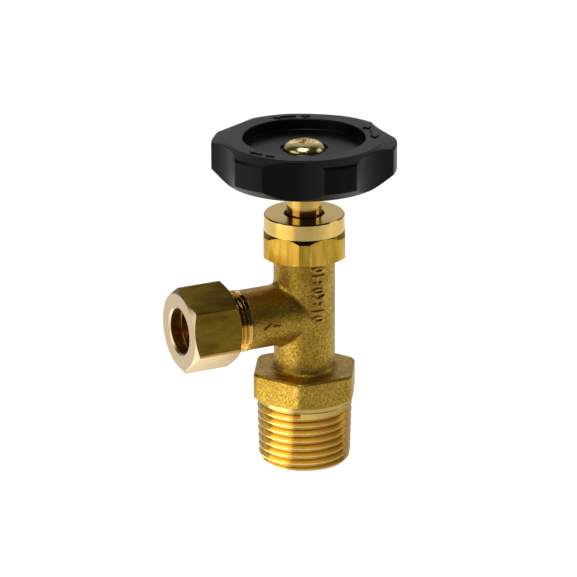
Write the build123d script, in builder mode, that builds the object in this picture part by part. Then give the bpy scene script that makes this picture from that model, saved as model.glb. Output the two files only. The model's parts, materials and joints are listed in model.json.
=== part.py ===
"""Angle needle valve with a plastic handwheel.

Units are millimetres. The origin is on the spindle axis at the inlet thread's end face.
+Z runs up the spindle and the outlet points along -X.
The needle is on its seat, the gland nut is tight and the compression nut is tight.
Hidden screw threads are plain cylinders with running clearance.
"""

import os
from math import atan, copysign, cos, degrees, radians, sin, sqrt, tan

from build123d import *

os.makedirs("parts", exist_ok=True)

# ---------------------------------------------------------------- driving dimensions

# Inlet: taper pipe thread R 1/2, 14 threads to the inch, taper 1 in 16 on diameter
pipe_pitch = 25.4 / 14
pipe_gauge_radius = 20.955 / 2
pipe_gauge_height = 8.2
pipe_taper = 1 / 32
pipe_depth = 1.162
pipe_top = 14.1
pipe_end_chamfer_height = 1.0
pipe_end_radius = 9.4
pipe_groove_start = -2.7
pipe_groove_end = 13.7
pipe_thread_turn = -137
pipe_bore_radius = 4.5
pipe_bore_depth = 22.0

# Inlet hexagon
inlet_hex_flats = 21.95
inlet_hex_corner_round = 2.2
inlet_hex_bevel = 0.45
inlet_hex_low = 15.2
inlet_hex_high = 21.6
inlet_hex_turn = -1.0
hexagon_foot_round = 1.0
relief_radius = 10.55

# Barrel and outlet branch
barrel_radius = 6.84
barrel_top = 48.9
body_top = 54.0
branch_height = 35.0
branch_radius = 6.74
branch_blend = 1.3
branch_shoulder = 15.65
branch_end = 25.5
branch_plain_ring = 1.2
cast_mark_height = 0.5
mark_top = 46.5
mark_step = 1.66
mark_width = 3.3
mark_stroke = 0.72
arrow_near = 9.2
arrow_far = 13.3
arrow_height = 34.6
arrow_head = 2.0
arrow_half = 0.5

# M14 x 1 threads: one under the gland nut, one under the compression nut
m14_radius = 6.95
m14_pitch = 1.0
m14_depth = 0.6
m14_nut_radius = 7.0

# Flow passages
branch_bore_radius = 3.0
tube_radius_clear = 5.05
tube_stop = 19.5
olive_cone_start = 21.5
olive_cone_half_angle = 12.0
chamber_radius = 4.9
chamber_low = 29.5
chamber_high = 38.0
seat_bore_radius = 3.2
seat_low = 26.5
seat_feed_radius = 2.5

# Spindle, running clearance and stuffing box
spindle_radius = 3.9
spindle_thread_radius = 4.5
running_gap = 0.03
spindle_thread_low = 33.9
spindle_thread_high = 41.9
spindle_low = 32.65
spindle_shoulder = 64.6
spindle_top = 71.2
square_flats = 6.0
box_radius = 5.3
box_low = 46.0
washer_thickness = 1.0
header_thickness = 0.8
packing_thickness = 1.6
packing_count = 3

# Needle and its seat
needle_tip = 25.6
needle_tip_radius = 0.4
needle_half_angle = 20.0
needle_collar_radius = 2.5
needle_collar_high = 32.6
needle_stem_radius = 1.5
seat_gap = 0.03
orifice_radius = 1.35
socket_radius = 1.55
ball_radius = 1.4
ball_height = 37.0
clip_low = 34.3
clip_high = 34.9

# Gland nut and follower
gland_low = 47.98
gland_hex_high = 54.15
gland_top = 57.78
gland_flats = 18.0
gland_corner_radius = 9.77
gland_collar_radius = 8.97
gland_hole_radius = 4.45
gland_shoulder = 55.45
gland_hex_turn = 3.6
follower_flange_radius = 6.2
follower_flange_low = 54.4

# Compression nut and olive, as distances from the spindle axis along the outlet
nut_near = 19.41
nut_far = 30.77
nut_flats = 17.0
nut_corner_radius = 9.64
nut_turn = -9.9
nut_hole_radius = 5.1
nut_hole_chamfer = 0.35
olive_near = 23.2
olive_far = 27.85
olive_radius = 6.3
olive_back_corner = 27.0
olive_gap = 0.04

# Handwheel
wheel_low = 66.2
wheel_high = 75.28
wheel_radius = 20.42
wheel_face_radius = 17.1
wheel_bevel_radius = 20.05
wheel_bevel_height = 74.5
wheel_side_high = 73.95
wheel_side_low = 68.45
wheel_base_radius = 17.65
wheel_lobes = 6
wheel_first_land = 206.6
scallop_radius = 17.9
scallop_centre = 35.85
scallop_round = 0.45
land_round = 0.6
dish_radius = 13.6
dish_floor = 72.8
screw_seat = 72.35
screw_seat_radius = 5.25
web_low = 69.8
hub_radius = 8.0
hub_low = 65.2
rim_inside_radius = 13.9
insert_radius = 5.6
insert_high = 71.4
flat_washer_thickness = 0.5
washer_hole_radius = 4.2
rib_thickness = 1.5
rim_mark_radius = 15.5
rim_mark_line = 0.64
rim_mark_height = 0.25
square_gap = 0.03

# Handwheel screw, M4 with a wide low head
screw_radius = 2.0
screw_length = 10.0
screw_head_radius = 4.7
screw_head_edge = 0.55
screw_head_height = 2.25
cross_turn = 45.6
cross_length = 4.6
cross_width = 1.1
cross_depth = 1.9

# ---------------------------------------------------------------- valve body


def pipe_radius(height):
    """Crest radius of the inlet thread at a height above its end face."""
    return pipe_gauge_radius + (height - pipe_gauge_height) * pipe_taper


# The forged inlet hexagon: rounded corners, a bevelled top edge and a turned underside
with BuildPart() as inlet_hexagon:
    with BuildSketch(Plane.XY.offset(inlet_hex_low)) as hexagon_outline:
        RegularPolygon(inlet_hex_flats / 2, 6, major_radius=False, rotation=inlet_hex_turn)
        fillet(hexagon_outline.vertices(), inlet_hex_corner_round)
    extrude(amount=inlet_hex_high - inlet_hex_low)
    chamfer(inlet_hexagon.faces().sort_by(Axis.Z)[-1].edges(), inlet_hex_bevel)
    corner_reach = inlet_hex_flats / 2 / cos(radians(30))
    underside_radius = inlet_hex_flats / 2 - 0.1
    underside_rise = (corner_reach - underside_radius) * tan(radians(30))
    with BuildSketch(Plane.XZ):
        with BuildLine():
            Polyline(
                (0, inlet_hex_low),
                (underside_radius, inlet_hex_low),
                (corner_reach, inlet_hex_low + underside_rise),
                (corner_reach, inlet_hex_high),
                (0, inlet_hex_high),
                close=True,
            )
        make_face()
    revolve(axis=Axis.Z, mode=Mode.INTERSECT)


def mark_bar(height):
    """A bar across the barrel."""
    with Locations((0, height)):
        Rectangle(mark_width, mark_stroke)


def mark_ring(height):
    """A flattened ring."""
    with Locations((0, height)):
        Ellipse(mark_width / 2, mark_step * 0.44)
        Ellipse(mark_width / 2 - mark_stroke, mark_step * 0.17, mode=Mode.SUBTRACT)


def mark_chevron(height):
    """A chevron pointing down the barrel."""
    half_height = mark_step * 0.44
    for side in (-1, 1):
        Polygon(
            (0, height - half_height),
            (side * mark_width / 2, height + half_height - mark_stroke),
            (side * mark_width / 2, height + half_height),
            (0, height - half_height + mark_stroke),
            align=None,
        )


def mark_dots(height):
    """Two dots side by side."""
    with Locations((-mark_width / 4, height), (mark_width / 4, height)):
        Circle(mark_step * 0.33)


# Raised foundry marks down the barrel's front: plain shapes that mean nothing
mark_order = [mark_ring, mark_bar, mark_dots, mark_ring, mark_chevron, mark_dots, mark_bar, mark_ring]
with BuildPart() as barrel_marks:
    with BuildSketch(Plane.XZ.offset(barrel_radius - 1.6)):
        for place, draw_mark in enumerate(mark_order):
            draw_mark(mark_top - place * mark_step)
    extrude(amount=4.0)
    with Locations((0, 0, branch_height)):
        Cylinder(barrel_radius + cast_mark_height, 40, mode=Mode.INTERSECT)

# Raised flow arrow on the branch's front, pointing along the outlet
with BuildPart() as flow_arrow:
    with BuildSketch(Plane.XZ.offset(branch_radius - 1.6)):
        with BuildLine():
            Polyline(
                (-arrow_far, arrow_height),
                (-arrow_far + arrow_head, arrow_height + arrow_head * 0.6),
                (-arrow_far + arrow_head, arrow_height + arrow_half),
                (-arrow_near, arrow_height + arrow_half),
                (-arrow_near, arrow_height - arrow_half),
                (-arrow_far + arrow_head, arrow_height - arrow_half),
                (-arrow_far + arrow_head, arrow_height - arrow_head * 0.6),
                close=True,
            )
        make_face()
    extrude(amount=4.0)
    with Locations((-10, 0, branch_height)):
        Cylinder(branch_radius + cast_mark_height, 20, rotation=(0, 90, 0), mode=Mode.INTERSECT)

# Inlet thread: one groove wound along a cone, then turned to its end chamfer and relief
thread_reach = pipe_depth + 0.15
thread_root_half = 0.14
thread_mouth_half = thread_root_half + thread_reach * tan(radians(27.5))
blank_low = -3
with BuildPart() as inlet_thread:
    with BuildSketch(Plane.XZ):
        with BuildLine():
            Polyline(
                (0, blank_low),
                (pipe_radius(blank_low), blank_low),
                (pipe_radius(pipe_top + 3), pipe_top + 3),
                (0, pipe_top + 3),
                close=True,
            )
        make_face()
    revolve(axis=Axis.Z)
    with BuildLine() as pipe_helix:
        Helix(
            pitch=pipe_pitch,
            height=pipe_groove_end - pipe_groove_start,
            radius=pipe_radius(pipe_groove_start) - pipe_depth,
            center=(0, 0, pipe_groove_start),
            cone_angle=degrees(atan(pipe_taper)),
        )
    with BuildSketch(Plane(origin=pipe_helix.line @ 0, x_dir=(1, 0, 0), z_dir=(0, -1, 0))):
        with BuildLine():
            Polyline(
                (0, -thread_root_half),
                (thread_reach, -thread_mouth_half),
                (thread_reach, thread_mouth_half),
                (0, thread_root_half),
                close=True,
            )
        make_face()
    sweep(path=pipe_helix.line, is_frenet=True, mode=Mode.SUBTRACT)
    with BuildSketch(Plane.XZ):
        with BuildLine():
            Polyline(
                (0, 0),
                (pipe_end_radius, 0),
                (pipe_radius(pipe_end_chamfer_height), pipe_end_chamfer_height),
                (pipe_radius(pipe_top), pipe_top),
                (relief_radius, pipe_top + 0.1),
                (relief_radius, inlet_hex_low),
                (0, inlet_hex_low),
                close=True,
            )
        make_face()
    revolve(axis=Axis.Z, mode=Mode.INTERSECT)

with BuildPart() as valve_body:
    # Turned outside: core, barrel and the top thread
    with BuildSketch(Plane.XZ):
        with BuildLine():
            Polyline(
                (0, inlet_hex_low),
                (barrel_radius, inlet_hex_low),
                (barrel_radius, barrel_top - 0.3),
                (m14_radius - 0.5, barrel_top),
                (m14_radius, barrel_top + 0.5),
                (m14_radius, body_top - 0.5),
                (m14_radius - 0.5, body_top),
                (0, body_top),
                close=True,
            )
        make_face()
    revolve(axis=Axis.Z)
    add(inlet_hexagon.part)
    add(inlet_thread.part, rotation=(0, 0, pipe_thread_turn))
    hexagon_joint = (
        valve_body.edges()
        .filter_by(GeomType.CIRCLE)
        .filter_by(lambda e: abs(e.radius - barrel_radius) < 0.01)
        .filter_by_position(Axis.Z, inlet_hex_high - 0.05, inlet_hex_high + 0.05)
    )
    fillet(hexagon_joint, hexagon_foot_round)

    # Outlet branch
    with BuildSketch(Plane(origin=(0, 0, branch_height), x_dir=(0, 1, 0), z_dir=(-1, 0, 0))):
        Circle(branch_radius)
    extrude(amount=branch_shoulder)
    saddle = (
        valve_body.edges()
        .filter_by(GeomType.CIRCLE, reverse=True)
        .filter_by_position(Axis.Z, branch_height - branch_radius - 1, branch_height + branch_radius + 1)
        .filter_by_position(Axis.X, -barrel_radius - 1, 1)
    )
    fillet(saddle, branch_blend)

    # Machined end of the branch: thread blank with chamfered ends
    with BuildSketch(Plane.XZ.offset(0)):
        with BuildLine():
            Polyline(
                (-branch_shoulder + 1.0, branch_height),
                (-branch_shoulder + 1.0, branch_height + branch_radius - 0.6),
                (-branch_shoulder, branch_height + branch_radius - 0.25),
                (-branch_shoulder - 0.35, branch_height + m14_radius),
                (-branch_end + 0.6, branch_height + m14_radius),
                (-branch_end, branch_height + m14_radius - 0.6),
                (-branch_end, branch_height),
                close=True,
            )
        make_face()
    revolve(axis=Axis((0, 0, branch_height), (1, 0, 0)))

    add(barrel_marks.part)
    add(flow_arrow.part)

    # Passage up through the inlet to the seat, the chamber, the spindle's thread and the stuffing box
    with BuildSketch(Plane.XZ):
        with BuildLine():
            Polyline(
                (0, -1),
                (pipe_bore_radius + 0.4, -1),
                (pipe_bore_radius + 0.4, 0),
                (pipe_bore_radius, 0.4),
                (pipe_bore_radius, pipe_bore_depth),
                (seat_feed_radius, pipe_bore_depth + 1.2),
                (seat_feed_radius, seat_low),
                (seat_bore_radius, seat_low),
                (seat_bore_radius, chamber_low),
                (chamber_radius, chamber_low),
                (chamber_radius, chamber_high),
                (spindle_thread_radius + running_gap, chamber_high + 0.4),
                (spindle_thread_radius + running_gap, box_low),
                (box_radius, box_low),
                (box_radius, body_top - 0.3),
                (box_radius + 0.3, body_top),
                (box_radius + 0.3, body_top + 1),
                (0, body_top + 1),
                close=True,
            )
        make_face()
    revolve(axis=Axis.Z, mode=Mode.SUBTRACT)

    # Passage out through the branch: bore, tube stop, tube socket and the olive's cone
    cone_mouth = tube_radius_clear + (branch_end - olive_cone_start) * tan(radians(olive_cone_half_angle))
    with BuildSketch(Plane.XZ):
        with BuildLine():
            Polyline(
                (0, branch_height),
                (0, branch_height + branch_bore_radius),
                (-tube_stop, branch_height + branch_bore_radius),
                (-tube_stop, branch_height + tube_radius_clear),
                (-olive_cone_start, branch_height + tube_radius_clear),
                (-branch_end, branch_height + cone_mouth),
                (-branch_end - 1, branch_height + cone_mouth),
                (-branch_end - 1, branch_height),
                close=True,
            )
        make_face()
    revolve(axis=Axis((0, 0, branch_height), (1, 0, 0)), mode=Mode.SUBTRACT)

    # Outlet thread: the same on a cylinder
    thread_start = (-branch_end - m14_pitch, 0, branch_height)
    with BuildLine() as outlet_helix:
        Helix(
            pitch=m14_pitch,
            height=branch_end + m14_pitch - branch_shoulder - branch_plain_ring,
            radius=m14_radius - m14_depth,
            center=thread_start,
            direction=(1, 0, 0),
        )
    root_half = 0.07
    mouth_half = root_half + (m14_depth + 0.3) * tan(radians(30))
    helix_point = outlet_helix.line @ 0
    helix_out = Vector(0, helix_point.Y, helix_point.Z - branch_height).normalized()
    with BuildSketch(
        Plane(origin=helix_point, x_dir=helix_out, z_dir=helix_out.cross(Vector(1, 0, 0)))
    ):
        with BuildLine():
            Polyline(
                (0, -root_half),
                (m14_depth + 0.3, -mouth_half),
                (m14_depth + 0.3, mouth_half),
                (0, root_half),
                close=True,
            )
        make_face()
    sweep(path=outlet_helix.line, is_frenet=True, mode=Mode.SUBTRACT)

# ---------------------------------------------------------------- seat and needle

slope = tan(radians(needle_half_angle))


def needle_radius(height):
    """Radius of the needle's cone at a height, with the needle on its seat."""
    return needle_tip_radius + (height - needle_tip) * slope


# Stainless seat pressed into the body from above
seat_mouth_radius = needle_radius(chamber_low) + seat_gap / cos(radians(needle_half_angle))
seat_cone_low = chamber_low - (seat_mouth_radius - orifice_radius) / slope
with BuildPart() as seat_ring:
    with BuildSketch(Plane.XZ):
        with BuildLine():
            Polyline(
                (orifice_radius, seat_low),
                (seat_bore_radius - 0.2, seat_low),
                (seat_bore_radius, seat_low + 0.2),
                (seat_bore_radius, chamber_low - 0.1),
                (seat_bore_radius - 0.1, chamber_low),
                (seat_mouth_radius, chamber_low),
                (orifice_radius, seat_cone_low),
                close=True,
            )
        make_face()
    revolve(axis=Axis.Z)

# The needle: cone, collar, and a stem that swivels in the spindle's socket
needle_cone_high = needle_tip + (needle_collar_radius - needle_tip_radius) / slope
stem_top = ball_height - ball_radius - running_gap
with BuildPart() as needle:
    with BuildSketch(Plane.XZ):
        with BuildLine():
            Polyline(
                (0, needle_tip),
                (needle_tip_radius, needle_tip),
                (needle_collar_radius, needle_cone_high),
                (needle_collar_radius, needle_collar_high - 0.2),
                (needle_collar_radius - 0.2, needle_collar_high),
                (needle_stem_radius, needle_collar_high),
                (needle_stem_radius, clip_low - 0.1),
                (needle_stem_radius - 0.45, clip_low - 0.1),
                (needle_stem_radius - 0.45, clip_high + 0.1),
                (needle_stem_radius, clip_high + 0.1),
                (needle_stem_radius, stem_top - 0.15),
                (needle_stem_radius - 0.15, stem_top),
                (0, stem_top),
                close=True,
            )
        make_face()
    revolve(axis=Axis.Z)

with BuildPart() as thrust_ball:
    with Locations((0, 0, ball_height)):
        Sphere(ball_radius)

# Split ring: sits in the spindle's groove and reaches into the needle's
clip_groove_radius = 2.15
with BuildPart() as needle_clip:
    with BuildSketch(Plane.XY.offset(clip_low)):
        Circle(clip_groove_radius)
        Circle(needle_stem_radius - 0.38, mode=Mode.SUBTRACT)
        with Locations((clip_groove_radius, 0)):
            Rectangle(clip_groove_radius * 2, 0.8, mode=Mode.SUBTRACT)
    extrude(amount=clip_high - clip_low)

# ---------------------------------------------------------------- spindle

socket_top = ball_height + ball_radius + 0.02
screw_hole_low = screw_seat - screw_length - 1.0
with BuildPart() as spindle:
    with BuildSketch(Plane.XZ):
        with BuildLine():
            Polyline(
                (0, spindle_low),
                (spindle_thread_radius - 1.3, spindle_low),
                (spindle_thread_radius - 1.1, spindle_low + 0.2),
                (spindle_thread_radius - 1.1, spindle_thread_low - 0.5),
                (spindle_thread_radius - 0.6, spindle_thread_low),
                (spindle_thread_radius, spindle_thread_low + 0.6),
                (spindle_thread_radius, spindle_thread_high - 0.5),
                (spindle_thread_radius - 0.5, spindle_thread_high),
                (spindle_radius, spindle_thread_high),
                (spindle_radius, spindle_shoulder - 0.2),
                (spindle_radius - 0.2, spindle_shoulder),
                (spindle_radius - 0.2, spindle_top - 0.4),
                (spindle_radius - 0.6, spindle_top),
                (0, spindle_top),
                close=True,
            )
        make_face()
    revolve(axis=Axis.Z)
    # Square for the handwheel insert
    with BuildSketch(Plane.XY.offset(spindle_shoulder)):
        Circle(spindle_radius + 1)
        Rectangle(square_flats, square_flats, mode=Mode.SUBTRACT)
    extrude(amount=spindle_top - spindle_shoulder + 1, mode=Mode.SUBTRACT)
    # Needle socket with the clip's groove
    with BuildSketch(Plane.XZ):
        with BuildLine():
            Polyline(
                (0, spindle_low - 1),
                (socket_radius + 0.2, spindle_low - 1),
                (socket_radius + 0.2, spindle_low),
                (socket_radius, spindle_low + 0.2),
                (socket_radius, clip_low),
                (clip_groove_radius, clip_low),
                (clip_groove_radius, clip_high),
                (socket_radius, clip_high),
                (socket_radius, socket_top),
                (0, socket_top),
                close=True,
            )
        make_face()
    revolve(axis=Axis.Z, mode=Mode.SUBTRACT)
    # Tapped hole for the handwheel screw
    with BuildSketch(Plane.XZ):
        with BuildLine():
            Polyline(
                (0, screw_hole_low - 1.1),
                (screw_radius, screw_hole_low),
                (screw_radius, spindle_top - 0.4),
                (screw_radius + 0.4, spindle_top),
                (screw_radius + 0.4, spindle_top + 1),
                (0, spindle_top + 1),
                close=True,
            )
        make_face()
    revolve(axis=Axis.Z, mode=Mode.SUBTRACT)

# ---------------------------------------------------------------- stuffing box

with BuildPart() as packing_washer:
    with BuildSketch(Plane.XY.offset(box_low)):
        Circle(box_radius - 0.05)
        Circle(spindle_radius + 0.05, mode=Mode.SUBTRACT)
    extrude(amount=washer_thickness)

packing_names = ["packing_ring_lower", "packing_ring_middle", "packing_ring_upper"]
packing_rings = []
for number in range(packing_count):
    with BuildPart() as packing_ring:
        with BuildSketch(Plane.XY.offset(box_low + washer_thickness + number * packing_thickness)):
            Circle(box_radius)
            Circle(spindle_radius + 0.02, mode=Mode.SUBTRACT)
        extrude(amount=packing_thickness)
        fillet(packing_ring.edges(), 0.12)
    packing_rings.append(packing_ring)

rings_top = box_low + washer_thickness + packing_count * packing_thickness
with BuildPart() as packing_header:
    with BuildSketch(Plane.XY.offset(rings_top)):
        Circle(box_radius - 0.05)
        Circle(spindle_radius + 0.05, mode=Mode.SUBTRACT)
    extrude(amount=header_thickness)

packing_top = rings_top + header_thickness
with BuildPart() as gland_follower:
    with BuildSketch(Plane.XZ):
        with BuildLine():
            Polyline(
                (spindle_radius + 0.05, packing_top),
                (box_radius - 0.05, packing_top),
                (box_radius - 0.05, follower_flange_low),
                (follower_flange_radius, follower_flange_low),
                (follower_flange_radius, gland_shoulder - 0.05 - 0.2),
                (follower_flange_radius - 0.2, gland_shoulder - 0.05),
                (spindle_radius + 0.25, gland_shoulder - 0.05),
                (spindle_radius + 0.05, gland_shoulder - 0.25),
                close=True,
            )
        make_face()
    revolve(axis=Axis.Z)

# ---------------------------------------------------------------- gland nut

with BuildPart() as gland_nut:
    with BuildSketch(Plane.XY.offset(gland_low)):
        RegularPolygon(gland_flats / 2, 6, major_radius=False, rotation=gland_hex_turn)
    extrude(amount=gland_top - gland_low)
    # Turned outside: bottom chamfer, corners, 45 degree top chamfer, collar
    corner_drop = gland_corner_radius - gland_collar_radius
    with BuildSketch(Plane.XZ):
        with BuildLine():
            Polyline(
                (0, gland_low),
                (gland_flats / 2 - 0.15, gland_low),
                (gland_corner_radius, gland_low + 0.55),
                (gland_corner_radius, gland_hex_high - corner_drop),
                (gland_collar_radius, gland_hex_high),
                (gland_collar_radius, gland_top - 0.25),
                (gland_collar_radius - 0.19, gland_top),
                (0, gland_top),
                close=True,
            )
        make_face()
    revolve(axis=Axis.Z, mode=Mode.INTERSECT)
    # Thread bore, follower space and the spindle's hole
    with BuildSketch(Plane.XZ):
        with BuildLine():
            Polyline(
                (0, gland_low - 1),
                (m14_nut_radius + 0.25, gland_low - 1),
                (m14_nut_radius + 0.25, gland_low + 0.4),
                (m14_nut_radius, gland_low + 0.65),
                (m14_nut_radius, gland_hex_high + 0.1),
                (m14_nut_radius - 0.55, gland_hex_high + 0.35),
                (m14_nut_radius - 0.55, gland_shoulder),
                (gland_hole_radius, gland_shoulder),
                (gland_hole_radius, gland_top - 0.15),
                (gland_hole_radius + 0.15, gland_top),
                (gland_hole_radius + 0.15, gland_top + 1),
                (0, gland_top + 1),
                close=True,
            )
        make_face()
    revolve(axis=Axis.Z, mode=Mode.SUBTRACT)

# ---------------------------------------------------------------- compression nut and olive

outlet_axis = Axis((0, 0, branch_height), (1, 0, 0))

with BuildPart() as compression_nut:
    nut_plane = Plane(origin=(-nut_near, 0, branch_height), x_dir=(0, -1, 0), z_dir=(-1, 0, 0))
    with BuildSketch(nut_plane):
        RegularPolygon(nut_flats / 2, 6, major_radius=False, rotation=90 - nut_turn)
    extrude(amount=nut_far - nut_near)
    chamfer_low = nut_flats / 2 - 0.1
    chamfer_long = (nut_corner_radius - chamfer_low) * tan(radians(30))
    with BuildSketch(Plane.XZ):
        with BuildLine():
            Polyline(
                (-nut_near, branch_height),
                (-nut_near, branch_height + chamfer_low),
                (-nut_near - chamfer_long, branch_height + nut_corner_radius),
                (-nut_far + chamfer_long, branch_height + nut_corner_radius),
                (-nut_far, branch_height + chamfer_low),
                (-nut_far, branch_height),
                close=True,
            )
        make_face()
    revolve(axis=outlet_axis, mode=Mode.INTERSECT)
    # Thread bore, cone that squeezes the olive, tube hole
    cone_far = olive_back_corner + olive_radius + olive_gap * sqrt(2) - nut_hole_radius
    cone_near = cone_far - (olive_radius + 0.2 - nut_hole_radius)
    with BuildSketch(Plane.XZ):
        with BuildLine():
            Polyline(
                (-nut_near + 1, branch_height),
                (-nut_near + 1, branch_height + m14_nut_radius + 0.3),
                (-nut_near, branch_height + m14_nut_radius + 0.3),
                (-nut_near - 0.3, branch_height + m14_nut_radius),
                (-branch_end - 0.6, branch_height + m14_nut_radius),
                (-branch_end - 0.6, branch_height + olive_radius + 0.2),
                (-cone_near, branch_height + olive_radius + 0.2),
                (-cone_far, branch_height + nut_hole_radius),
                (-nut_far + nut_hole_chamfer, branch_height + nut_hole_radius),
                (-nut_far, branch_height + nut_hole_radius + nut_hole_chamfer),
                (-nut_far - 1, branch_height + nut_hole_radius + nut_hole_chamfer),
                (-nut_far - 1, branch_height),
                close=True,
            )
        make_face()
    revolve(axis=outlet_axis, mode=Mode.SUBTRACT)


def olive_nose(distance):
    """Radius of the olive's nose where it meets the body's cone."""
    rise = (distance - olive_cone_start) * tan(radians(olive_cone_half_angle))
    return tube_radius_clear + rise - olive_gap


with BuildPart() as olive:
    back_step = olive_radius - (olive_far - olive_back_corner)
    with BuildSketch(Plane.XZ):
        with BuildLine():
            Polyline(
                (-olive_near, branch_height + tube_radius_clear),
                (-olive_near, branch_height + olive_nose(olive_near)),
                (-branch_end, branch_height + olive_nose(branch_end)),
                (-branch_end - 0.35, branch_height + olive_radius),
                (-olive_back_corner, branch_height + olive_radius),
                (-olive_far, branch_height + back_step),
                (-olive_far, branch_height + tube_radius_clear),
                close=True,
            )
        make_face()
    revolve(axis=outlet_axis)

# ---------------------------------------------------------------- handwheel

lobe_step = 360 / wheel_lobes
lobe_start = wheel_first_land + lobe_step / 2

# Cutter for one scallop, flared at the top so that the wheel keeps a rounded edge there
with BuildPart() as scallop_cutter:
    round_middle = scallop_round * (1 - cos(radians(45)))
    with BuildSketch(Plane.XZ):
        with BuildLine():
            Polyline(
                (scallop_radius + scallop_round, wheel_high),
                (scallop_radius + scallop_round, wheel_high + 1),
                (0, wheel_high + 1),
                (0, wheel_low - 1),
                (scallop_radius, wheel_low - 1),
                (scallop_radius, wheel_high - scallop_round),
            )
            ThreePointArc(
                (scallop_radius, wheel_high - scallop_round),
                (scallop_radius + round_middle, wheel_high - round_middle),
                (scallop_radius + scallop_round, wheel_high),
            )
        make_face()
    revolve(axis=Axis.Z)


def bearing_point(radius, bearing):
    """A point at a radius and a bearing in degrees."""
    return (radius * cos(radians(bearing)), radius * sin(radians(bearing)))


# Raised on the rim's flat top: three short curved arrows, each with a plus or minus sign behind it
arrow_groups = [(207, -8, False), (352, -16, True), (70, 14, True)]
arrow_head_half = 0.95
arrow_head_length = 1.5
sign_behind = 8
sign_length = 1.9
with BuildSketch(Plane.XY.offset(wheel_high - 0.05)) as rim_marks:
    for tail, turn, is_plus in arrow_groups:
        way = copysign(1, turn)
        with BuildSketch(mode=Mode.PRIVATE) as arrow_line:
            Circle(rim_mark_radius + rim_mark_line / 2)
            Circle(rim_mark_radius - rim_mark_line / 2, mode=Mode.SUBTRACT)
            Polygon(
                (0, 0),
                bearing_point(wheel_radius, tail),
                bearing_point(wheel_radius, tail + turn),
                align=None,
                mode=Mode.INTERSECT,
            )
        add(arrow_line.sketch)
        with PolarLocations(rim_mark_radius, 1, start_angle=tail + turn):
            Polygon(
                (-arrow_head_half, -way * 0.05),
                (arrow_head_half, -way * 0.05),
                (0, way * arrow_head_length),
                align=None,
            )
        with PolarLocations(rim_mark_radius, 1, start_angle=tail - way * sign_behind):
            Rectangle(rim_mark_line, sign_length)
            if is_plus:
                Rectangle(sign_length, rim_mark_line)

with BuildPart() as handwheel:
    # Turned disc with a shallow top bevel and a steeper one below
    with BuildSketch(Plane.XZ):
        with BuildLine():
            Polyline(
                (0, wheel_low),
                (wheel_base_radius, wheel_low),
                (wheel_radius, wheel_side_low),
                (wheel_radius, wheel_side_high),
                (wheel_bevel_radius, wheel_bevel_height),
                (wheel_face_radius, wheel_high),
                (0, wheel_high),
                close=True,
            )
        make_face()
    revolve(axis=Axis.Z)
    with PolarLocations(scallop_centre, wheel_lobes, start_angle=lobe_start):
        add(scallop_cutter.part, mode=Mode.SUBTRACT)
    land_edges = (
        handwheel.edges()
        .filter_by(GeomType.LINE)
        .filter_by(Axis.Z)
        .filter_by(lambda e: (e.center().X ** 2 + e.center().Y ** 2) ** 0.5 > wheel_radius - 0.1)
    )
    fillet(land_edges, land_round)
    # Dished top
    with BuildSketch(Plane.XZ):
        with BuildLine():
            Polyline(
                (0, dish_floor),
                (dish_radius - 0.35, dish_floor),
                (dish_radius - 0.2, dish_floor + 0.15),
                (dish_radius - 0.1, wheel_high - 0.2),
                (dish_radius + 0.1, wheel_high),
                (dish_radius + 0.1, wheel_high + 1),
                (0, wheel_high + 1),
                close=True,
            )
        make_face()
    revolve(axis=Axis.Z, mode=Mode.SUBTRACT)
    # Hollow underside with one rib behind each land
    with BuildSketch(Plane.XY.offset(wheel_low)):
        Circle(rim_inside_radius)
        Circle(hub_radius, mode=Mode.SUBTRACT)
        with PolarLocations(0, wheel_lobes, start_angle=wheel_first_land):
            with Locations(((hub_radius + rim_inside_radius) / 2, 0)):
                Rectangle(rim_inside_radius - hub_radius + 2, rib_thickness, mode=Mode.SUBTRACT)
    extrude(amount=web_low - wheel_low, mode=Mode.SUBTRACT)
    # Hub below the rim
    with BuildSketch(Plane.XY.offset(hub_low)):
        Circle(hub_radius)
    extrude(amount=web_low - hub_low)
    chamfer(
        handwheel.faces().sort_by(Axis.Z)[0].edges(),
        0.5,
    )
    # Seat of the brass insert, the washers' hole and the screw head's shallow recess
    with BuildSketch(Plane.XY.offset(hub_low)):
        Circle(insert_radius)
    extrude(amount=insert_high - hub_low, mode=Mode.SUBTRACT)
    with BuildSketch(Plane.XY.offset(insert_high - 1)):
        Circle(washer_hole_radius)
    extrude(amount=dish_floor - insert_high + 2, mode=Mode.SUBTRACT)
    with BuildSketch(Plane.XY.offset(screw_seat)):
        Circle(screw_seat_radius)
    extrude(amount=dish_floor - screw_seat + 1, mode=Mode.SUBTRACT)
    add(rim_marks.sketch)
    extrude(amount=rim_mark_height + 0.05)

# Brass bush moulded into the hub
with BuildPart() as handwheel_insert:
    with BuildSketch(Plane.XY.offset(spindle_shoulder)):
        Circle(insert_radius)
    extrude(amount=insert_high - spindle_shoulder)
    with BuildSketch(Plane.XY.offset(spindle_shoulder)):
        Rectangle(square_flats + 2 * square_gap, square_flats + 2 * square_gap)
    extrude(amount=insert_high - spindle_shoulder, mode=Mode.SUBTRACT)
    chamfer(handwheel_insert.faces().sort_by(Axis.Z)[0].edges().filter_by(GeomType.CIRCLE), 0.3)

# Flat washer and split spring washer under the screw head
with BuildPart() as flat_washer:
    with BuildSketch(Plane.XY.offset(insert_high)):
        Circle(washer_hole_radius - 0.1)
        Circle(screw_radius + 0.15, mode=Mode.SUBTRACT)
    extrude(amount=flat_washer_thickness)

lock_washer_low = insert_high + flat_washer_thickness
with BuildPart() as lock_washer:
    with BuildSketch(Plane.XY.offset(lock_washer_low)):
        Circle(washer_hole_radius - 0.3)
        Circle(screw_radius + 0.2, mode=Mode.SUBTRACT)
        with Locations((washer_hole_radius - 1, 0)):
            Rectangle(3, 0.35, rotation=20, mode=Mode.SUBTRACT)
    extrude(amount=screw_seat - lock_washer_low)

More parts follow.
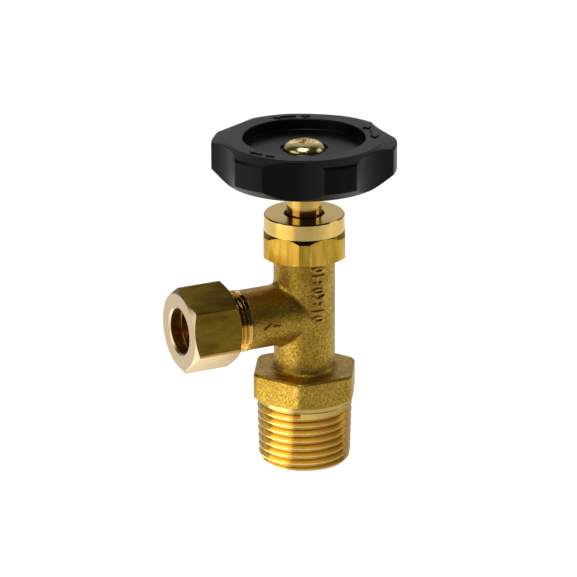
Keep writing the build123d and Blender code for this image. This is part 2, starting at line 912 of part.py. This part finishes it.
# Cross-recess screw: low domed head, plain shank in place of its thread
head_shoulder_radius = 0.7 * screw_head_radius
head_top = screw_seat + screw_head_height
with BuildPart() as handwheel_screw:
    with BuildSketch(Plane.XZ):
        with BuildLine():
            Polyline(
                (0, head_top),
                (0, screw_seat - screw_length),
                (screw_radius - 0.5, screw_seat - screw_length),
                (screw_radius, screw_seat - screw_length + 0.5),
                (screw_radius, screw_seat),
                (screw_head_radius - 0.15, screw_seat),
                (screw_head_radius, screw_seat + 0.15),
                (screw_head_radius, screw_seat + screw_head_edge),
            )
            ThreePointArc(
                (screw_head_radius, screw_seat + screw_head_edge),
                (0.5 * (screw_head_radius + head_shoulder_radius) + 0.12, head_top - 0.95),
                (head_shoulder_radius, head_top - 0.45),
            )
            ThreePointArc(
                (head_shoulder_radius, head_top - 0.45),
                (head_shoulder_radius / 2, head_top - 0.11),
                (0, head_top),
            )
        make_face()
    revolve(axis=Axis.Z)
    # Recess: four tapered wings around a conical well
    recess_top = head_top + 0.1
    with BuildSketch(Plane.XY.offset(recess_top)):
        Rectangle(cross_length, cross_width, rotation=cross_turn)
        Rectangle(cross_width, cross_length, rotation=cross_turn)
    with BuildSketch(Plane.XY.offset(recess_top - cross_depth)):
        Rectangle(cross_length / 2, cross_width / 2, rotation=cross_turn)
        Rectangle(cross_width / 2, cross_length / 2, rotation=cross_turn)
    loft(mode=Mode.SUBTRACT)

# ---------------------------------------------------------------- export

pieces = {
    "valve_body": valve_body,
    "seat_ring": seat_ring,
    "needle": needle,
    "thrust_ball": thrust_ball,
    "needle_clip": needle_clip,
    "spindle": spindle,
    "packing_washer": packing_washer,
    "packing_header": packing_header,
    "gland_follower": gland_follower,
    "gland_nut": gland_nut,
    "compression_nut": compression_nut,
    "olive": olive,
    "handwheel": handwheel,
    "handwheel_insert": handwheel_insert,
    "flat_washer": flat_washer,
    "lock_washer": lock_washer,
    "handwheel_screw": handwheel_screw,
}
for name, ring in zip(packing_names, packing_rings):
    pieces[name] = ring

for name, piece in pieces.items():
    piece.part.label = name
    export_step(piece.part, f"parts/{name}.step")
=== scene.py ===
"""Looks of the angle needle valve: materials, camera, floor and light around the fixed CAD frame.

Units are metres. Every shape of the valve comes from the CAD frame; this script adds none.
"""

import json
import math

import bpy
from mathutils import Matrix, Vector

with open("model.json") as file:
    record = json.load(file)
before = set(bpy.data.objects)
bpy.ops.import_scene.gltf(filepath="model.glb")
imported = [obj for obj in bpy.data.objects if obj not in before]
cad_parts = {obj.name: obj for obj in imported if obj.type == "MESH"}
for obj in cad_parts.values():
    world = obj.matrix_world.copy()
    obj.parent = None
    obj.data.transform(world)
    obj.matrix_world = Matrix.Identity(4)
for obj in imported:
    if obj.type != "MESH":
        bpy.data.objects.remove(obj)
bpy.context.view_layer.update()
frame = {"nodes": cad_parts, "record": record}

MM = 0.001
scene = bpy.context.scene
nodes = frame["nodes"]

# ---------------------------------------------------------------- camera

CAMERA_AZIMUTH = math.radians(-26.4)
CAMERA_ELEVATION = math.radians(19.84)
CAMERA_DISTANCE = 856 * MM
CAMERA_ROLL = math.radians(-0.17)
TARGET_SIDEWAYS = -3.51 * MM
TARGET_HEIGHT = 39.98 * MM
SENSOR_WIDTH = 36.0
FOCAL_LENGTH = 240.3
CLIP_START = 0.01
CLIP_END = 50

right_of_camera = Vector((math.cos(CAMERA_AZIMUTH), math.sin(CAMERA_AZIMUTH), 0))
back_of_camera = Vector(
    (
        math.sin(CAMERA_AZIMUTH) * math.cos(CAMERA_ELEVATION),
        -math.cos(CAMERA_AZIMUTH) * math.cos(CAMERA_ELEVATION),
        math.sin(CAMERA_ELEVATION),
    )
)
up_of_camera = back_of_camera.cross(right_of_camera)
target = right_of_camera * TARGET_SIDEWAYS + Vector((0, 0, TARGET_HEIGHT))
turned_right = right_of_camera * math.cos(CAMERA_ROLL) + up_of_camera * math.sin(CAMERA_ROLL)
turned_up = up_of_camera * math.cos(CAMERA_ROLL) - right_of_camera * math.sin(CAMERA_ROLL)
camera_axes = Matrix((turned_right, turned_up, back_of_camera)).transposed()
camera_place = Matrix.Translation(target + back_of_camera * CAMERA_DISTANCE)

camera_data = bpy.data.cameras.new("camera")
camera_data.lens = FOCAL_LENGTH
camera_data.sensor_width = SENSOR_WIDTH
camera_data.clip_start = CLIP_START
camera_data.clip_end = CLIP_END
camera = bpy.data.objects.new("camera", camera_data)
scene.collection.objects.link(camera)
camera.matrix_world = camera_place @ camera_axes.to_4x4()
scene.camera = camera
scene.view_settings.view_transform = "Standard"

# ---------------------------------------------------------------- floor

FLOOR_HALF = 4.0
FLOOR_DROP = 0.02 * MM

corners = [(x * FLOOR_HALF, y * FLOOR_HALF, 0) for x, y in ((-1, -1), (1, -1), (1, 1), (-1, 1))]
floor_mesh = bpy.data.meshes.new("floor")
floor_mesh.from_pydata(corners, [], [(0, 1, 2, 3)])
floor = bpy.data.objects.new("floor", floor_mesh)
floor.location = (0, 0, -FLOOR_DROP)
scene.collection.objects.link(floor)

# ---------------------------------------------------------------- light

LIGHT_TARGET = Vector((0, 0, 0.035))
# Name, azimuth and elevation in degrees, distance, width, height, watts
LIGHTS = (
    ("key", -57, 22, 0.9, 0.75, 0.75, 2.6),
    ("fill", 100, 20, 1.0, 0.45, 0.70, 1.0),
    ("back", 178, 24, 1.3, 0.80, 0.25, 0.22),
    ("top", -20, 78, 0.9, 0.45, 0.45, 2.2),
)

WORLD_BRIGHT_AZIMUTH = 180
WORLD_BRIGHT_ELEVATION = 10
WORLD_DARK = 0.025
WORLD_DARK_POSITION = 0.45
WORLD_PALE = 0.50
WORLD_PALE_POSITION = 0.985


def direction(azimuth, elevation):
    """Unit vector from the valve, by degrees anticlockwise from the camera seen from above."""
    a = CAMERA_AZIMUTH + math.radians(azimuth)
    e = math.radians(elevation)
    return Vector((math.sin(a) * math.cos(e), -math.cos(a) * math.cos(e), math.sin(e)))


def soft_light(name, azimuth, elevation, distance, width, height, power):
    """A rectangular area light that faces the valve's middle."""
    data = bpy.data.lights.new(name, "AREA")
    data.shape = "RECTANGLE"
    data.size = width
    data.size_y = height
    data.energy = power
    light = bpy.data.objects.new(name, data)
    towards_light = direction(azimuth, elevation)
    light.location = LIGHT_TARGET + towards_light * distance
    light.rotation_euler = towards_light.to_track_quat("Z", "Y").to_euler()
    scene.collection.objects.link(light)


def surroundings():
    """Nearly black above and on the camera's side, paler low down behind the valve."""
    world = bpy.data.worlds.new("world")
    world.use_nodes = True
    tree = world.node_tree
    tree.nodes.clear()
    output = tree.nodes.new("ShaderNodeOutputWorld")
    background = tree.nodes.new("ShaderNodeBackground")
    coordinates = tree.nodes.new("ShaderNodeTexCoord")
    towards = tree.nodes.new("ShaderNodeVectorMath")
    towards.operation = "DOT_PRODUCT"
    towards.inputs[1].default_value = direction(WORLD_BRIGHT_AZIMUTH, WORLD_BRIGHT_ELEVATION)
    ramp = tree.nodes.new("ShaderNodeValToRGB")
    dark, pale = ramp.color_ramp.elements
    dark.position = WORLD_DARK_POSITION
    dark.color = (WORLD_DARK, WORLD_DARK, WORLD_DARK, 1)
    pale.position = WORLD_PALE_POSITION
    pale.color = (WORLD_PALE, WORLD_PALE, WORLD_PALE, 1)
    tree.links.new(coordinates.outputs["Generated"], towards.inputs[0])
    tree.links.new(towards.outputs["Value"], ramp.inputs[0])
    tree.links.new(ramp.outputs[0], background.inputs["Color"])
    tree.links.new(background.outputs[0], output.inputs[0])
    return world


for light_values in LIGHTS:
    soft_light(*light_values)
scene.world = surroundings()

# ---------------------------------------------------------------- shader wrapper

BEVEL_SAMPLES = 4


class Shader:
    """A small wrapper that keeps node code short."""

    def __init__(self, name):
        self.material = bpy.data.materials.new(name)
        self.material.use_nodes = True
        self.tree = self.material.node_tree
        self.tree.nodes.clear()
        output = self.node("ShaderNodeOutputMaterial")
        self.bsdf = self.node("ShaderNodeBsdfPrincipled")
        self.tree.links.new(self.bsdf.outputs[0], output.inputs[0])
        self.coord = self.node("ShaderNodeTexCoord").outputs["Object"]

    def node(self, kind, **values):
        made = self.tree.nodes.new(kind)
        for key, value in values.items():
            setattr(made, key, value)
        return made

    def put(self, socket, value):
        """Link a socket's value, or set a plain one."""
        if isinstance(value, bpy.types.NodeSocket):
            self.tree.links.new(value, socket)
        else:
            socket.default_value = value

    def math(self, operation, a, b=0.0):
        made = self.node("ShaderNodeMath", operation=operation)
        self.put(made.inputs[0], a)
        self.put(made.inputs[1], b)
        return made.outputs[0]

    def plus(self, a, b):
        return self.math("ADD", a, b)

    def minus(self, a, b):
        return self.math("SUBTRACT", a, b)

    def times(self, a, b):
        return self.math("MULTIPLY", a, b)

    def larger(self, a, b):
        return self.math("MAXIMUM", a, b)

    def above(self, value, limit):
        return self.math("GREATER_THAN", value, limit)

    def below(self, value, limit):
        return self.math("LESS_THAN", value, limit)

    def length(self, a, b):
        return self.math("SQRT", self.plus(self.times(a, a), self.times(b, b)))

    def noise(self, scale, detail, rough, vector=None):
        """Noise between about 0.3 and 0.7; the scale is in cells per unit of the vector."""
        made = self.node("ShaderNodeTexNoise")
        self.put(made.inputs["Vector"], vector or self.coord)
        made.inputs["Scale"].default_value = scale
        made.inputs["Detail"].default_value = detail
        made.inputs["Roughness"].default_value = rough
        return made.outputs["Fac"]

    def stretch(self, scale):
        made = self.node("ShaderNodeMapping")
        self.put(made.inputs["Vector"], self.coord)
        made.inputs["Scale"].default_value = scale
        return made.outputs[0]

    def split(self, vector=None):
        made = self.node("ShaderNodeSeparateXYZ")
        self.put(made.inputs[0], vector or self.coord)
        return made.outputs

    def join(self, x, y, z):
        made = self.node("ShaderNodeCombineXYZ")
        self.put(made.inputs[0], x)
        self.put(made.inputs[1], y)
        self.put(made.inputs[2], z)
        return made.outputs[0]

    def remap(self, value, low, high, to_low=0, to_high=1):
        made = self.node("ShaderNodeMapRange")
        self.put(made.inputs["Value"], value)
        made.inputs["From Min"].default_value = low
        made.inputs["From Max"].default_value = high
        made.inputs["To Min"].default_value = to_low
        made.inputs["To Max"].default_value = to_high
        return made.outputs["Result"]

    def mix(self, factor, a, b):
        """Mix two colours, each a socket or a plain red, green, blue."""
        made = self.node("ShaderNodeMix", data_type="RGBA")
        self.put(made.inputs[0], factor)
        for socket, value in ((made.inputs[6], a), (made.inputs[7], b)):
            self.put(socket, value if isinstance(value, bpy.types.NodeSocket) else (*value, 1))
        return made.outputs[2]

    def mix_value(self, factor, a, b):
        made = self.node("ShaderNodeMix", data_type="FLOAT")
        self.put(made.inputs[0], factor)
        self.put(made.inputs[2], a)
        self.put(made.inputs[3], b)
        return made.outputs[0]

    def bump(self, height, distance, strength, normal=None):
        made = self.node("ShaderNodeBump")
        self.put(made.inputs["Height"], height)
        self.put(made.inputs["Distance"], distance)
        self.put(made.inputs["Strength"], strength)
        if normal is not None:
            self.put(made.inputs["Normal"], normal)
        return made.outputs[0]

    def soft_edges(self, radius):
        made = self.node("ShaderNodeBevel", samples=BEVEL_SAMPLES)
        made.inputs["Radius"].default_value = radius
        return made.outputs[0]

    def finish(self, colour, roughness, metallic, normal, **more):
        self.put(self.bsdf.inputs["Base Color"], colour)
        self.put(self.bsdf.inputs["Roughness"], roughness)
        self.put(self.bsdf.inputs["Metallic"], metallic)
        self.put(self.bsdf.inputs["Normal"], normal)
        for key, value in more.items():
            self.put(self.bsdf.inputs[key], value)
        return self.material


# ---------------------------------------------------------------- materials

METAL = 1.0
NOT_METAL = 0.0
# Noises are given as cells per metre, detail and roughness; those with one cell per unit take a
# stretched or scaled vector instead. Most of a noise's values lie inside NOISE_SPAN.
NOISE_SPAN = (0.3, 0.7)
LINE_NOISE = (1.0, 3, 0.6)
TURNING_PITCH = 5200
TURNING_BUMP = 0.004 * MM
TURNING_BUMP_STRENGTH = 0.6

# Places on the valve where the finish changes
HEXAGON_UNDERSIDE = 15.15 * MM
INLET_RELIEF = 14.15 * MM
BRANCH_SHOULDER = -15.67 * MM
BARREL_THREAD = 48.6 * MM
BRANCH_HEIGHT = 35 * MM
GLAND_COLLAR = 54.15 * MM
GLAND_TOP = 57.65 * MM

# Inlet thread: radius of the crest at the end face, and its growth with height
INLET_CREST_RADIUS = 10.221 * MM
INLET_TAPER = 1 / 32
# Painted shade in the thread roots: depths below the inlet crest, radii of the outlet, and its
# strength
INLET_ROOT_SHADE_DEPTHS = (0.25 * MM, 1.0 * MM)
OUTLET_ROOT_SHADE_RADII = (6.80 * MM, 6.40 * MM)
ROOT_SHADE_AMOUNT = 0.55

# Forged skin of the body
SKIN_GRAIN = (2100, 4, 0.62)
SKIN_GRAIN_SPAN = (0.38, 0.62)
SKIN_PITS = (900, 3, 0.6)
SKIN_CLOUDS = (150, 4, 0.6)
SKIN_CLOUD_SPAN = (0.42, 0.66, 0, 0.65)
SKIN_SPECKS = (1300, 2, 0.5)
SKIN_SPECK_SPAN = (0.66, 0.74, 0, 0.7)
SKIN_DARK = (0.36, 0.21, 0.018)
SKIN_LIGHT = (0.76, 0.48, 0.085)
SKIN_CLOUD = (0.36, 0.225, 0.022)
SKIN_SPECK = (0.86, 0.62, 0.22)
SKIN_ROUGH = (0.48, 0.30)
SKIN_GRAIN_HEIGHT = 0.6
SKIN_PIT_HEIGHT = 0.8
SKIN_BUMP = 0.15 * MM
SKIN_BUMP_STRENGTH = 0.9
SKIN_EDGE = 0.12 * MM

# Turned ends of the body
THREAD_DARK = (0.82, 0.53, 0.12)
THREAD_LIGHT = (0.93, 0.67, 0.22)
# Colour of the painted shade in the thread roots
THREAD_ROOT_PAINTED_SHADE = (0.36, 0.19, 0.025)
THREAD_RELIEF = (0.70, 0.49, 0.16)
THREAD_ROUGH = (0.07, 0.14)
THREAD_PITCH = 9000
THREAD_RINGS = (1.0, 2, 0.5)
THREAD_RING_HEIGHT = 0.06

# Turned brass pieces and the screw
TURNED_LIGHT = (0.84, 0.57, 0.155)
TURNED_DARK = (0.68, 0.41, 0.060)
TURNED_ROUGH = (0.10, 0.2)
TURNED_EDGE = 0.10 * MM
SCREW_LIGHT = (0.93, 0.76, 0.36)
SCREW_DARK = (0.88, 0.68, 0.24)
SCREW_ROUGH = (0.12, 0.20)
SCREW_EDGE = 0.8 * MM
SMUDGES = (140, 3, 0.55)
SMUDGE_SPAN = (0.35, 0.7)
SMUDGE_ROUGH = (0.4, 0.7, 0, 0.06)

# Gland nut
COLLAR_LIGHT = (0.93, 0.67, 0.23)
COLLAR_DARK = (0.84, 0.54, 0.10)
COLLAR_ROUGH = (0.09, 0.17)
GLAND_HEX_LIGHT = (0.80, 0.50, 0.075)
GLAND_HEX_DARK = (0.58, 0.345, 0.035)
GLAND_HEX_SMUDGE = (0.50, 0.30, 0.03)
GLAND_HEX_ROUGH = (0.14, 0.26)
GLAND_TOP_PAINTED_SHADE = (0.54, 0.355, 0.074)
GLAND_STRETCH = (900, 900, 130)
GLAND_STREAKS = (1.0, 4, 0.6)
GLAND_STREAK_SPAN = (0.36, 0.66)
GLAND_SMUDGES = (210, 3, 0.6)
COLLAR_SMUDGE_SPAN = (0.4, 0.68)
GLAND_HEX_SMUDGE_SPAN = (0.46, 0.66, 0, 0.5)
GLAND_STREAK_HEIGHT = 2.0
GLAND_EDGE = 0.10 * MM

# Compression nut
DRAWN_LIGHT = (0.60, 0.375, 0.045)
DRAWN_DARK = (0.33, 0.20, 0.018)
DRAWN_UNDERSIDE_PAINTED_REFLECTION = (0.70, 0.53, 0.29)
DRAWN_UNDERSIDE_REFLECTION_SPAN = (-0.2, -0.6, 0, 0.85)
DRAWN_END_TURNED_AND_SHEEN = (0.74, 0.57, 0.35)
DRAWN_END_SLOPE = 0.45
DRAWN_END_ROUGH = 0.30
DRAWN_ROUGH = (0.26, 0.40)
DRAWN_LINE_STRETCH = (220, 5200, 5200)
DRAWN_SMUDGE_STRETCH = (150, 420, 420)
DRAWN_SMUDGES = (1.0, 4, 0.65)
DRAWN_SMUDGE_SPAN = (0.35, 0.68)
DRAWN_BUMP = 0.010 * MM
DRAWN_BUMP_STRENGTH = 0.7
DRAWN_EDGE = 0.14 * MM

# Handwheel
WHEEL_DARK = (0.0025, 0.0025, 0.0027)
WHEEL_LIGHT = (0.0045, 0.0045, 0.0047)
WHEEL_ROUGH = (0.28, 0.38)
WHEEL_TEXTURE = (3200, 3, 0.6)
WHEEL_CLOUDS = (120, 3, 0.5)
WHEEL_CLOUD_SPAN = (0.35, 0.7)
WHEEL_BUMP = 0.012 * MM
WHEEL_BUMP_STRENGTH = 0.6
WHEEL_EDGE = 0.12 * MM
WHEEL_IOR = 1.235

# Stainless steel and packing
STEEL_DARK = (0.52, 0.52, 0.53)
STEEL_LIGHT = (0.66, 0.66, 0.66)
STEEL_ROUGH = (0.2, 0.32)
STEEL_PITCH = 7000
PACKING_DARK = (0.80, 0.80, 0.78)
PACKING_LIGHT = (0.90, 0.90, 0.88)
PACKING_ROUGH = 0.5
PACKING_CLOUDS = (900, 3, 0.6)
PACKING_BUMP = 0.01 * MM
PACKING_BUMP_STRENGTH = 0.5
HIDDEN_EDGE = 0.05 * MM


def turning_rings(s, x, y, z):
    """Fine rings left by the lathe, around the spindle axis and across flat faces."""
    along = s.times(z, TURNING_PITCH)
    outward = s.times(s.length(x, y), TURNING_PITCH)
    return s.noise(*LINE_NOISE, s.join(along, outward, 0))


def forged_brass():
    """Grainy forged skin, with bright turned threads at the two ends and under the gland nut."""
    s = Shader("forged_brass")
    x, y, z = s.split()
    grain = s.noise(*SKIN_GRAIN)
    pits = s.noise(*SKIN_PITS)
    cloud = s.noise(*SKIN_CLOUDS)
    specks = s.noise(*SKIN_SPECKS)
    skin = s.mix(s.remap(grain, *SKIN_GRAIN_SPAN), SKIN_DARK, SKIN_LIGHT)
    skin = s.mix(s.remap(cloud, *SKIN_CLOUD_SPAN), skin, SKIN_CLOUD)
    skin = s.mix(s.remap(specks, *SKIN_SPECK_SPAN), skin, SKIN_SPECK)
    skin_rough = s.remap(grain, *NOISE_SPAN, *SKIN_ROUGH)

    low_end = s.below(z, HEXAGON_UNDERSIDE)
    outlet_end = s.below(x, BRANCH_SHOULDER)
    top_end = s.above(z, BARREL_THREAD)
    machined = s.larger(s.larger(low_end, outlet_end), top_end)

    # Turned surfaces, with painted shade darkening the bottom of both visible threads
    rings = s.noise(*THREAD_RINGS, s.join(s.times(z, THREAD_PITCH), 0, 0))
    turned = s.mix(s.remap(rings, *NOISE_SPAN), THREAD_DARK, THREAD_LIGHT)
    turned_rough = s.remap(rings, *NOISE_SPAN, *THREAD_ROUGH)
    inlet_crest = s.plus(s.times(z, INLET_TAPER), INLET_CREST_RADIUS)
    inlet_depth = s.minus(inlet_crest, s.length(x, y))
    inlet_root_shade = s.times(s.remap(inlet_depth, *INLET_ROOT_SHADE_DEPTHS), low_end)
    outlet_radius = s.length(y, s.minus(z, BRANCH_HEIGHT))
    outlet_root_shade = s.times(s.remap(outlet_radius, *OUTLET_ROOT_SHADE_RADII), outlet_end)
    painted_root_shade = s.times(s.larger(inlet_root_shade, outlet_root_shade), ROOT_SHADE_AMOUNT)
    turned = s.mix(painted_root_shade, turned, THREAD_ROOT_PAINTED_SHADE)
    relief = s.times(s.above(z, INLET_RELIEF), low_end)
    turned = s.mix(relief, turned, THREAD_RELIEF)

    colour = s.mix(machined, skin, turned)
    rough = s.mix_value(machined, skin_rough, turned_rough)
    skin_height = s.plus(s.times(grain, SKIN_GRAIN_HEIGHT), s.times(pits, SKIN_PIT_HEIGHT))
    height = s.mix_value(machined, skin_height, s.times(rings, THREAD_RING_HEIGHT))
    normal = s.bump(height, SKIN_BUMP, SKIN_BUMP_STRENGTH, s.soft_edges(SKIN_EDGE))
    return s.finish(colour, rough, METAL, normal)


def turned_brass(name, light, dark, rough, edge):
    """Bright turned brass with fine rings and faint smudges."""
    s = Shader(name)
    rings = turning_rings(s, *s.split())
    smudge = s.noise(*SMUDGES)
    colour = s.mix(s.remap(smudge, *SMUDGE_SPAN), light, dark)
    smudge_rough = s.remap(smudge, *SMUDGE_ROUGH)
    roughness = s.plus(s.remap(rings, *NOISE_SPAN, *rough), smudge_rough)
    normal = s.bump(rings, TURNING_BUMP, TURNING_BUMP_STRENGTH, s.soft_edges(edge))
    return s.finish(colour, roughness, METAL, normal)


def gland_brass():
    """Gland nut: drawn hexagon with faint upright streaks, brighter turned collar, and painted
    shade darkening the top face.
    """
    s = Shader("gland_nut_brass")
    x, y, z = s.split()
    rings = turning_rings(s, x, y, z)
    streaks = s.noise(*GLAND_STREAKS, s.stretch(GLAND_STRETCH))
    smudge = s.noise(*GLAND_SMUDGES)
    collar = s.mix(s.remap(smudge, *COLLAR_SMUDGE_SPAN), COLLAR_LIGHT, COLLAR_DARK)
    hexagon = s.mix(s.remap(streaks, *GLAND_STREAK_SPAN), GLAND_HEX_LIGHT, GLAND_HEX_DARK)
    hexagon = s.mix(s.remap(smudge, *GLAND_HEX_SMUDGE_SPAN), hexagon, GLAND_HEX_SMUDGE)
    is_collar = s.above(z, GLAND_COLLAR)
    colour = s.mix(is_collar, hexagon, collar)
    # Painted shade: the top face is given a darker colour
    colour = s.mix(s.above(z, GLAND_TOP), colour, GLAND_TOP_PAINTED_SHADE)
    hexagon_rough = s.remap(streaks, *NOISE_SPAN, *GLAND_HEX_ROUGH)
    collar_rough = s.remap(rings, *NOISE_SPAN, *COLLAR_ROUGH)
    rough = s.mix_value(is_collar, hexagon_rough, collar_rough)
    height = s.mix_value(is_collar, s.times(streaks, GLAND_STREAK_HEIGHT), rings)
    normal = s.bump(height, TURNING_BUMP, TURNING_BUMP_STRENGTH, s.soft_edges(GLAND_EDGE))
    return s.finish(colour, rough, METAL, normal)


def drawn_brass():
    """Compression nut: dull drawn flats with faint lines, a painted reflection paling the
    underside, and turned end faces whose pale colour is partly painted reflection.
    """
    s = Shader("compression_nut_brass")
    lines = s.noise(*LINE_NOISE, s.stretch(DRAWN_LINE_STRETCH))
    smudge = s.noise(*DRAWN_SMUDGES, s.stretch(DRAWN_SMUDGE_STRETCH))
    facing_x, _, facing_z = s.split(s.node("ShaderNodeNewGeometry").outputs["Normal"])
    flats = s.mix(s.remap(smudge, *DRAWN_SMUDGE_SPAN), DRAWN_LIGHT, DRAWN_DARK)
    # Painted reflection: faces turned towards the floor get a paler colour
    painted_underside_reflection = s.remap(facing_z, *DRAWN_UNDERSIDE_REFLECTION_SPAN)
    flats = s.mix(painted_underside_reflection, flats, DRAWN_UNDERSIDE_PAINTED_REFLECTION)
    # End faces: a turned finish, with a pale colour that is partly painted reflection
    end_face = s.above(s.math("ABSOLUTE", facing_x), DRAWN_END_SLOPE)
    colour = s.mix(end_face, flats, DRAWN_END_TURNED_AND_SHEEN)
    flats_rough = s.remap(lines, *NOISE_SPAN, *DRAWN_ROUGH)
    rough = s.mix_value(end_face, flats_rough, DRAWN_END_ROUGH)
    normal = s.bump(lines, DRAWN_BUMP, DRAWN_BUMP_STRENGTH, s.soft_edges(DRAWN_EDGE))
    return s.finish(colour, rough, METAL, normal)


def wheel_plastic():
    """Satin black moulding with a fine texture."""
    s = Shader("wheel_plastic")
    texture = s.noise(*WHEEL_TEXTURE)
    cloud = s.noise(*WHEEL_CLOUDS)
    colour = s.mix(s.remap(cloud, *WHEEL_CLOUD_SPAN), WHEEL_DARK, WHEEL_LIGHT)
    rough = s.remap(texture, *NOISE_SPAN, *WHEEL_ROUGH)
    normal = s.bump(texture, WHEEL_BUMP, WHEEL_BUMP_STRENGTH, s.soft_edges(WHEEL_EDGE))
    return s.finish(colour, rough, NOT_METAL, normal, IOR=WHEEL_IOR)


def stainless():
    """Turned stainless steel of the hidden pieces."""
    s = Shader("stainless")
    _, _, z = s.split()
    rings = s.noise(*LINE_NOISE, s.join(s.times(z, STEEL_PITCH), 0, 0))
    colour = s.mix(s.remap(rings, *NOISE_SPAN), STEEL_DARK, STEEL_LIGHT)
    rough = s.remap(rings, *NOISE_SPAN, *STEEL_ROUGH)
    normal = s.bump(rings, TURNING_BUMP, TURNING_BUMP_STRENGTH, s.soft_edges(HIDDEN_EDGE))
    return s.finish(colour, rough, METAL, normal)


def ptfe():
    """White packing rings."""
    s = Shader("packing")
    cloud = s.noise(*PACKING_CLOUDS)
    colour = s.mix(s.remap(cloud, *NOISE_SPAN), PACKING_DARK, PACKING_LIGHT)
    normal = s.bump(cloud, PACKING_BUMP, PACKING_BUMP_STRENGTH, s.soft_edges(HIDDEN_EDGE))
    return s.finish(colour, PACKING_ROUGH, NOT_METAL, normal)


# ---------------------------------------------------------------- paper floor

PAPER_DARK = (0.34, 0.34, 0.34)
PAPER_LIGHT = (0.36, 0.36, 0.36)
PAPER_ROUGH = 0.9
PAPER_FIBRES = (300, 3, 0.6)
PAPER_BUMP = 0.02 * MM
PAPER_BUMP_STRENGTH = 0.3

# Glow for the camera, and for every other ray close to the valve
GLOW_SEEN = 0.93
GLOW_NEAR = 0.66

# Pools: azimuth, angle where the pool ends, angle where it is full, glow added
KEY_POOL = (-58, 34, 20, 1.0)
FRONT_SHADE = (8, 70, 15, -0.36)
FOOT_SHADE = (104, 92, 25, -0.46)

# Fades over the distance from the valve's axis: start, end, value before, value after
KEY_NEAR_FADE = (45 * MM, 68 * MM, 1.60, 0.62)
KEY_FAR_FADE = (125 * MM, 150 * MM, 1, 0.72)
FRONT_FADE = (22 * MM, 75 * MM, 0, 1)
FOOT_FADE = (36 * MM, 50 * MM, 1, 0)
GLOW_FADE = (220 * MM, 600 * MM, 1, 0.12)


def floor_paper():
    """White paper: glows evenly for the camera, more dimly and unevenly in reflections."""
    s = Shader("floor")
    fibre = s.noise(*PAPER_FIBRES)
    colour = s.mix(s.remap(fibre, *NOISE_SPAN), PAPER_DARK, PAPER_LIGHT)
    s.finish(colour, PAPER_ROUGH, NOT_METAL, s.bump(fibre, PAPER_BUMP, PAPER_BUMP_STRENGTH))
    outward = s.node("ShaderNodeVectorMath", operation="NORMALIZE")
    s.put(outward.inputs[0], s.coord)
    length = s.node("ShaderNodeVectorMath", operation="LENGTH")
    s.put(length.inputs[0], s.coord)
    distance = length.outputs["Value"]

    def pool(azimuth, end, full, amount):
        """Glow in one direction from the valve, fading out between two angles."""
        facing = s.node("ShaderNodeVectorMath", operation="DOT_PRODUCT")
        s.put(facing.inputs[0], outward.outputs[0])
        facing.inputs[1].default_value = direction(azimuth, 0)
        edges = (math.cos(math.radians(end)), math.cos(math.radians(full)))
        return s.remap(facing.outputs["Value"], *edges, 0, amount)

    key_fade = s.times(s.remap(distance, *KEY_NEAR_FADE), s.remap(distance, *KEY_FAR_FADE))
    key_pool = s.times(pool(*KEY_POOL), key_fade)
    front_shade = s.times(pool(*FRONT_SHADE), s.remap(distance, *FRONT_FADE))
    foot_shade = s.times(pool(*FOOT_SHADE), s.remap(distance, *FOOT_FADE))
    near = s.plus(s.plus(front_shade, s.plus(key_pool, foot_shade)), GLOW_NEAR)
    reflected = s.times(near, s.remap(distance, *GLOW_FADE))
    seen = s.node("ShaderNodeLightPath").outputs["Is Camera Ray"]
    s.put(s.bsdf.inputs["Emission Color"], (1, 1, 1, 1))
    s.put(s.bsdf.inputs["Emission Strength"], s.mix_value(seen, reflected, GLOW_SEEN))
    return s.material


# ---------------------------------------------------------------- finishes on the CAD nodes

finishes = {
    "forged_brass": forged_brass(),
    "turned_brass": turned_brass(
        "turned_brass", TURNED_LIGHT, TURNED_DARK, TURNED_ROUGH, TURNED_EDGE
    ),
    "gland_nut_brass": gland_brass(),
    "compression_nut_brass": drawn_brass(),
    "screw_brass": turned_brass("screw_brass", SCREW_LIGHT, SCREW_DARK, SCREW_ROUGH, SCREW_EDGE),
    "wheel_plastic": wheel_plastic(),
    "stainless": stainless(),
    "packing": ptfe(),
}
floor_mesh.materials.append(floor_paper())

for row in frame["record"]["subparts"]:
    piece = nodes[row["node"]]
    piece.data.materials.clear()
    piece.data.materials.append(finishes[row["material_slot"]])
